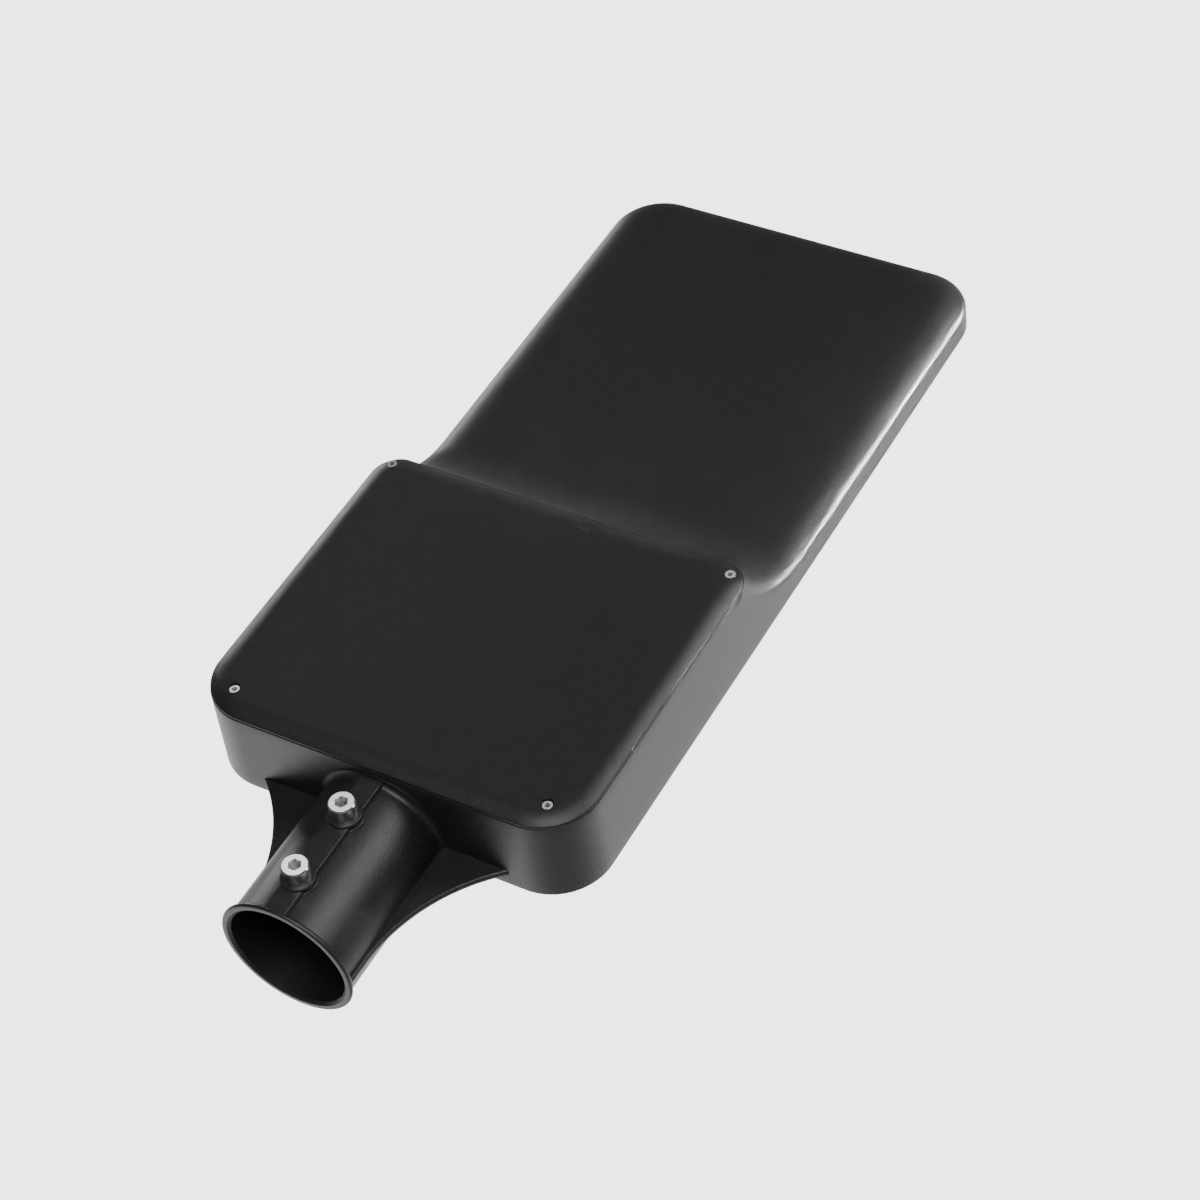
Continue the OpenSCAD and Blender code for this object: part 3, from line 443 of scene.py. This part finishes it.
def cover_shell():
    """The lift-off cover: an upright edge, rounded until it meets a sloping border that eases into a
    flat crown as a parabola, and the locating skirt underneath."""
    sides = np.linspace(0, 1, ALONG)
    rise, border, edge_r, skirt_depth = 2.8, 9.5, 0.8, 4
    edge_z = cover_high[2] - rise
    low_z = cover_low[2] + skirt_depth
    skirt_z = cover_low[2]

    def ring(step, z):
        px, py, _, _ = half_plan(cover_high[0] - step, cover_low[1] + step, cover_high[1] - step,
                                 28.1 - step, 14 - step, sides)
        return stack(px, py, z)

    def skirt_ring(step, z):
        px, py, _, _ = half_plan(seal_high[0] - 5 - step, seal_low[1] + 5 + step,
                                 seal_high[1] - 5 - step, 35 - step, 9 - step, sides)
        return stack(px, py, z)

    rings = [skirt_ring(2.8, low_z + 1.5), skirt_ring(2.8, skirt_z), skirt_ring(0.8, skirt_z),
             skirt_ring(0.8, low_z), ring(0.2, low_z), ring(0, low_z + 0.2)]
    for turn in np.linspace(0, math.atan2(border, 2 * rise), 7):
        start = edge_r * (1 - math.cos(turn))
        start_z = edge_z - edge_r * (1 - math.sin(turn))
        rings.append(ring(start, start_z))
    crown_rise = cover_high[2] - start_z
    for k in np.linspace(0, 1, 14)[1:]:
        rings.append(ring(start + (border - start) * k, start_z + crown_rise * (1 - (1 - k) ** 2)))
    return both_sides([loft(rings), to_middle(rings[0]), to_middle(rings[-1])])


def drill(obj, places, r, low, high):
    """Cuts round holes down through a closed piece, and leaves no modifier on it."""
    cutter = surface("cutter", [turned([(0, low), (r, low), (r, high), (0, high)], (x, y, 0), "z", 48)
                                for x, y in places], obj.data.materials[0])
    cut = obj.modifiers.new("holes", "BOOLEAN")
    cut.object = cutter
    cut.operation = "DIFFERENCE"
    cut.solver = "EXACT"
    graph = bpy.context.evaluated_depsgraph_get()
    drilled = bpy.data.meshes.new_from_object(obj.evaluated_get(graph))
    obj.modifiers.clear()
    obj.data = drilled
    bpy.data.objects.remove(cutter)
    drilled.set_sharp_from_angle(angle=math.radians(30))


# ---------------------------------------------------------------- materials

def node_group(name, inputs, outputs):
    """An empty shader group with named inputs (name, kind, default) and outputs (name, kind)."""
    group = bpy.data.node_groups.new(name, "ShaderNodeTree")
    for label, kind, value in inputs:
        socket = group.interface.new_socket(label, in_out="INPUT", socket_type=kind)
        socket.default_value = value
    for label, kind in outputs:
        group.interface.new_socket(label, in_out="OUTPUT", socket_type=kind)
    ends = group.nodes.new("NodeGroupInput"), group.nodes.new("NodeGroupOutput")
    return group, ends[0], ends[1]


def grain_group():
    """Fine grain on Object coordinates: two layers of noise, mixed to a colour factor and a height."""
    group, source, result = node_group(
        "fine_grain",
        [("Fine Scale", "NodeSocketFloat", 1500.0), ("Coarse Scale", "NodeSocketFloat", 250.0),
         ("Coarse Share", "NodeSocketFloat", 0.3)],
        [("Factor", "NodeSocketFloat"), ("Height", "NodeSocketFloat")])
    nodes, links = group.nodes, group.links
    place = nodes.new("ShaderNodeTexCoord")
    noises = []
    for label in ("Fine Scale", "Coarse Scale"):
        noise = nodes.new("ShaderNodeTexNoise")
        noise.inputs["Detail"].default_value = 3
        noise.inputs["Roughness"].default_value = 0.6
        links.new(place.outputs["Object"], noise.inputs["Vector"])
        links.new(source.outputs[label], noise.inputs["Scale"])
        noises.append(noise)
    blend = nodes.new("ShaderNodeMix")
    links.new(source.outputs["Coarse Share"], blend.inputs["Factor"])
    links.new(noises[0].outputs["Fac"], blend.inputs["A"])
    links.new(noises[1].outputs["Fac"], blend.inputs["B"])
    links.new(blend.outputs["Result"], result.inputs["Height"])
    spread = nodes.new("ShaderNodeMapRange")
    spread.inputs["From Min"].default_value = 0.3
    spread.inputs["From Max"].default_value = 0.7
    links.new(blend.outputs["Result"], spread.inputs["Value"])
    links.new(spread.outputs["Result"], result.inputs["Factor"])
    return group


GRAIN = grain_group()


def grained(name, low, high, rough, fine, coarse, share, bump, metallic=0.0, **sockets):
    """A material whose colour and roughness wander between two values with the grain, and whose
    surface follows the grain's height. Further sockets of the shader are set by name."""
    material = bpy.data.materials.new(name)
    material.use_nodes = True
    nodes, links = material.node_tree.nodes, material.node_tree.links
    shader = nodes["Principled BSDF"]
    shader.inputs["Metallic"].default_value = metallic
    for label, value in sockets.items():
        shader.inputs[label.replace("_", " ")].default_value = value
    grain = nodes.new("ShaderNodeGroup")
    grain.node_tree = GRAIN
    grain.inputs["Fine Scale"].default_value = fine
    grain.inputs["Coarse Scale"].default_value = coarse
    grain.inputs["Coarse Share"].default_value = share
    colour = nodes.new("ShaderNodeMix")
    colour.data_type = "RGBA"
    colour.inputs["A"].default_value = (*low, 1)
    colour.inputs["B"].default_value = (*high, 1)
    links.new(grain.outputs["Factor"], colour.inputs["Factor"])
    links.new(colour.outputs["Result"], shader.inputs["Base Color"])
    gloss = nodes.new("ShaderNodeMapRange")
    gloss.inputs["To Min"].default_value = rough[0]
    gloss.inputs["To Max"].default_value = rough[1]
    links.new(grain.outputs["Factor"], gloss.inputs["Value"])
    links.new(gloss.outputs["Result"], shader.inputs["Roughness"])
    relief = nodes.new("ShaderNodeBump")
    relief.inputs["Strength"].default_value = 1.0
    relief.inputs["Distance"].default_value = bump * MM
    links.new(grain.outputs["Height"], relief.inputs["Height"])
    links.new(relief.outputs["Normal"], shader.inputs["Normal"])
    return material


def metal(name, colour, rough, fine=1800.0, bump=0.001):
    """Bare or plated metal with a faint grain."""
    dark = tuple(0.9 * each for each in colour)
    return grained(name, dark, colour, rough, fine, 300.0, 0.35, bump, metallic=1.0)


def clear(name, colour, rough, ior, bump):
    """Clear glass or acrylic with a very faint waviness."""
    return grained(name, colour, colour, rough, 60.0, 20.0, 0.5, bump,
                   Transmission_Weight=1.0, IOR=ior)


powder = grained("powder_coat", (0.010, 0.010, 0.0104), (0.022, 0.022, 0.0225), (0.28, 0.42),
                 1600.0, 700.0, 0.25, 0.20)
powder_cover = grained("powder_coat_cover", (0.010, 0.010, 0.0104), (0.022, 0.022, 0.0225),
                       (0.30, 0.44), 1600.0, 700.0, 0.25, 0.20)
stainless = metal("stainless", (0.80, 0.79, 0.77), (0.12, 0.20))
zinc = metal("zinc_plate", (0.62, 0.63, 0.64), (0.30, 0.45))
nickel = metal("nickel", (0.70, 0.67, 0.62), (0.28, 0.42))
brass = metal("brass", (0.78, 0.58, 0.26), (0.25, 0.40))
satin_aluminium = metal("satin_aluminium", (0.66, 0.67, 0.69), (0.38, 0.52))
rubber = grained("silicone_rubber", (0.020, 0.020, 0.021), (0.034, 0.034, 0.035), (0.62, 0.80),
                 1200.0, 300.0, 0.3, 0.02)
nylon = grained("moulded_nylon", (0.020, 0.020, 0.021), (0.030, 0.030, 0.031), (0.42, 0.55),
                1500.0, 350.0, 0.3, 0.012)
ivory_plastic = grained("ivory_plastic", (0.66, 0.63, 0.54), (0.72, 0.69, 0.60), (0.42, 0.55),
                        900.0, 200.0, 0.3, 0.012)
grey_plastic = grained("grey_plastic", (0.52, 0.53, 0.53), (0.60, 0.61, 0.60), (0.40, 0.52),
                       1100.0, 250.0, 0.3, 0.010)
cell_wrap = grained("cell_wrap", (0.020, 0.110, 0.380), (0.030, 0.150, 0.460), (0.20, 0.32),
                    500.0, 90.0, 0.6, 0.012)
fish_paper = grained("insulating_sheet", (0.36, 0.42, 0.24), (0.46, 0.52, 0.32), (0.60, 0.75),
                     1600.0, 260.0, 0.4, 0.015)
green_board = grained("green_board", (0.010, 0.110, 0.045), (0.016, 0.160, 0.065), (0.26, 0.38),
                      900.0, 160.0, 0.5, 0.006)
white_board = grained("white_board", (0.78, 0.79, 0.77), (0.84, 0.85, 0.83), (0.32, 0.44),
                      900.0, 160.0, 0.4, 0.004)
phosphor = grained("phosphor", (0.80, 0.58, 0.10), (0.92, 0.74, 0.20), (0.28, 0.40),
                   2500.0, 600.0, 0.3, 0.006)
red_wire = grained("red_wire", (0.34, 0.020, 0.016), (0.44, 0.035, 0.028), (0.34, 0.46),
                   1200.0, 260.0, 0.3, 0.006)
acrylic = clear("clear_acrylic", (0.95, 0.97, 0.98), (0.03, 0.06), 1.49, 0.002)
window = clear("window_glass", (0.93, 0.98, 0.96), (0.0, 0.02), 1.52, 0.001)

NODE_FINISHES = {
    stainless: cover_screw_nodes + clamp_nodes + ["frame_screws"],
    zinc: ["strap_screws", "controller_screws", "lens_screws", "battery_straps"],
    nickel: ["cell_links"],
    brass: ["terminal_screws", "earth_screw"],
    satin_aluminium: ["controller_case", "controller_lid"],
    rubber: ["cover_gasket", "gland_seal", "bulkhead_grommet", "glass_gasket"],
    nylon: ["gland_body", "gland_dome_nut", "gland_locknut", "breather_vent", "vent_nut"],
    ivory_plastic: ["battery_tray"],
    grey_plastic: ["terminal_block"],
    cell_wrap: ["battery_cells"],
    fish_paper: ["battery_sheet"],
    green_board: ["bms_board"],
    white_board: ["led_board"],
    phosphor: ["led_chips"],
    red_wire: ["battery_leads", "led_leads"],
    acrylic: ["lens_plate"],
    window: ["glass_pane"],
    powder: ["glass_frame"],
}


# ---------------------------------------------------------------- assembly

housing = surface("housing_casting", body_shell() + screw_columns() + [spigot_tube()] + root_fillet()
                  + both_sides(web()) + land() + clamp_bosses() + gussets(), powder)
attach(housing, "head")
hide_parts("housing")

cover = surface("cover_casting", cover_shell(), powder_cover)
screw_places = []
for node_name in cover_screw_nodes:
    node_low, node_high = span(node_name)
    screw_places.append(((node_low[0] + node_high[0]) / 2, (node_low[1] + node_high[1]) / 2))
drill(cover, screw_places, 3.1, 30, 50)
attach(cover, "cover")
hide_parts("top_cover")

pad_top, pad_floor, pad_low = rim_z + 2.1, span(cover_screw_nodes[0])[1][2] - 3, rim_z - 2
pads = surface("cover_screw_pads", [turned(
    [(1.7, pad_low), (3.9, pad_low), (3.9, pad_top), (3.1, pad_top), (3.1, pad_floor), (1.7, pad_floor),
     (1.7, pad_low)], (x, y, 0), "z", 48) for x, y in screw_places], powder_cover)
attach(pads, "cover")

for material, names in NODE_FINISHES.items():
    for name in names:
        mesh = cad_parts[name].data
        mesh.materials.clear()
        mesh.materials.append(material)


# ---------------------------------------------------------------- stage, lights and camera

def fade_with_distance(nodes, links, place, centre, start, end, low, high):
    """A value that goes smoothly from low to high as the distance from a centre goes from start to end."""
    away = nodes.new("ShaderNodeVectorMath")
    away.operation = "DISTANCE"
    away.inputs[1].default_value = centre
    links.new(place.outputs["Object"], away.inputs[0])
    fade = nodes.new("ShaderNodeMapRange")
    fade.interpolation_type = "SMOOTHSTEP"
    fade.inputs["From Min"].default_value = start
    fade.inputs["From Max"].default_value = end
    fade.inputs["To Min"].default_value = low
    fade.inputs["To Max"].default_value = high
    links.new(away.outputs["Value"], fade.inputs["Value"])
    return fade.outputs["Result"]


def floor_material(seen_glow, glow, dark_spot, lit_centre):
    """Pale matt floor that glows. What it sheds on the object fades out around a spot in front of it
    and far from the lit centre, as dark cards there would do; the view sees one even glow."""
    material = grained("floor", (0.80, 0.80, 0.80), (0.82, 0.82, 0.82), (0.85, 0.95), 6.0, 2.0, 0.5, 0.0)
    nodes, links = material.node_tree.nodes, material.node_tree.links
    shader = nodes["Principled BSDF"]
    place = nodes.new("ShaderNodeTexCoord")
    shed = nodes.new("ShaderNodeMath")
    shed.operation = "MULTIPLY"
    near_dark = fade_with_distance(nodes, links, place, dark_spot, 0.5, 1.5, 0.0, glow)
    far_dark = fade_with_distance(nodes, links, place, lit_centre, 1.4, 2.6, 1.0, 0.0)
    links.new(near_dark, shed.inputs[0])
    links.new(far_dark, shed.inputs[1])
    seen = nodes.new("ShaderNodeLightPath")
    shine = nodes.new("ShaderNodeMix")
    shine.inputs["B"].default_value = seen_glow
    links.new(seen.outputs["Is Camera Ray"], shine.inputs["Factor"])
    links.new(shed.outputs["Value"], shine.inputs["A"])
    links.new(shine.outputs["Result"], shader.inputs["Emission Strength"])
    shader.inputs["Emission Color"].default_value = (1, 1, 1, 1)
    return material


stage_z = -1200.0
floor_reach = np.array([-20000.0, 20000.0])
floor_level = stage_z * MM
floor = surface("floor", [stack(floor_reach[None, :], floor_reach[:, None], stage_z)],
                floor_material(seen_glow=3.2, glow=1.4, dark_spot=(0.75, -0.65, floor_level),
                               lit_centre=(-0.5, -0.1, floor_level)))


def studio_walls(horizon, overhead, fade):
    """A plain surround: its brightness falls from the horizon to overhead as the sine of the height
    angle goes from 0 to fade."""
    world = bpy.data.worlds.new("studio")
    bpy.context.scene.world = world
    world.use_nodes = True
    nodes, links = world.node_tree.nodes, world.node_tree.links
    way = nodes.new("ShaderNodeTexCoord")
    height = nodes.new("ShaderNodeSeparateXYZ")
    fall = nodes.new("ShaderNodeMapRange")
    fall.interpolation_type = "SMOOTHSTEP"
    fall.inputs["From Max"].default_value = fade
    fall.inputs["To Min"].default_value = horizon
    fall.inputs["To Max"].default_value = overhead
    links.new(way.outputs["Generated"], height.inputs["Vector"])
    links.new(height.outputs["Z"], fall.inputs["Value"])
    links.new(fall.outputs["Result"], nodes["Background"].inputs["Strength"])
    nodes["Background"].inputs["Color"].default_value = (1, 1, 1, 1)


studio_walls(horizon=0.15, overhead=0.10, fade=0.5)


def softbox(name, azimuth, elevation, distance, size, brightness, spread=180, target=(0, 0.25, 0)):
    """A rectangular lamp that faces a target from a direction, and sheds light within its spread in
    degrees. azimuth 0 is +X and 90 is +Y. Its power is its brightness times pi and its area, and a
    narrow spread gathers that same power into a much brighter beam."""
    lamp = bpy.data.lights.new(name, "AREA")
    lamp.shape = "RECTANGLE"
    lamp.size, lamp.size_y = size
    lamp.energy = brightness * math.pi * size[0] * size[1]
    lamp.spread = math.radians(spread)
    obj = bpy.data.objects.new(name, lamp)
    bpy.context.collection.objects.link(obj)
    around, up = math.radians(azimuth), math.radians(elevation)
    place = Vector((math.cos(up) * math.cos(around), math.cos(up) * math.sin(around), math.sin(up)))
    obj.location = Vector(target) + place * distance
    obj.rotation_euler = place.to_track_quat("Z", "Y").to_euler()


softbox("fill", azimuth=-54, elevation=65, distance=4.5, size=(2.4, 2.4), brightness=7)
softbox("key", azimuth=42, elevation=40, distance=4.5, size=(2.0, 2.4), brightness=6.5)
softbox("low_right", azimuth=41, elevation=1, distance=4.0, size=(0.20, 0.9), brightness=7.5,
        spread=5, target=(0.12, 0.44, 0))
softbox("low_left", azimuth=146, elevation=0, distance=4.0, size=(1.2, 0.6), brightness=0.5, spread=30)
softbox("glint", azimuth=131, elevation=48.5, distance=4.5, size=(1.2, 0.6), brightness=1.2)
softbox("clamp_glint", azimuth=135.6, elevation=52.3, distance=4.5, size=(0.3, 0.3), brightness=0.008,
        spread=5, target=(0, -0.03, 0.04))

lens = bpy.data.cameras.new("camera")
lens.lens = 90
lens.sensor_width = 36
camera = bpy.data.objects.new("camera", lens)
bpy.context.collection.objects.link(camera)
camera_place = Vector((0.6142, -0.5733, 1.0763))
camera_aim = Vector((0.0240, 0.2474, 0.0))
camera_roll = 9.04
back = (camera_place - camera_aim).normalized()
right = Vector((0, 0, 1)).cross(back).normalized()
up = back.cross(right)
level = Matrix((right, up, back)).transposed()
camera.matrix_world = (Matrix.Translation(camera_place) @ level.to_4x4()
                       @ Matrix.Rotation(math.radians(-camera_roll), 4, "Z"))
bpy.context.scene.camera = camera
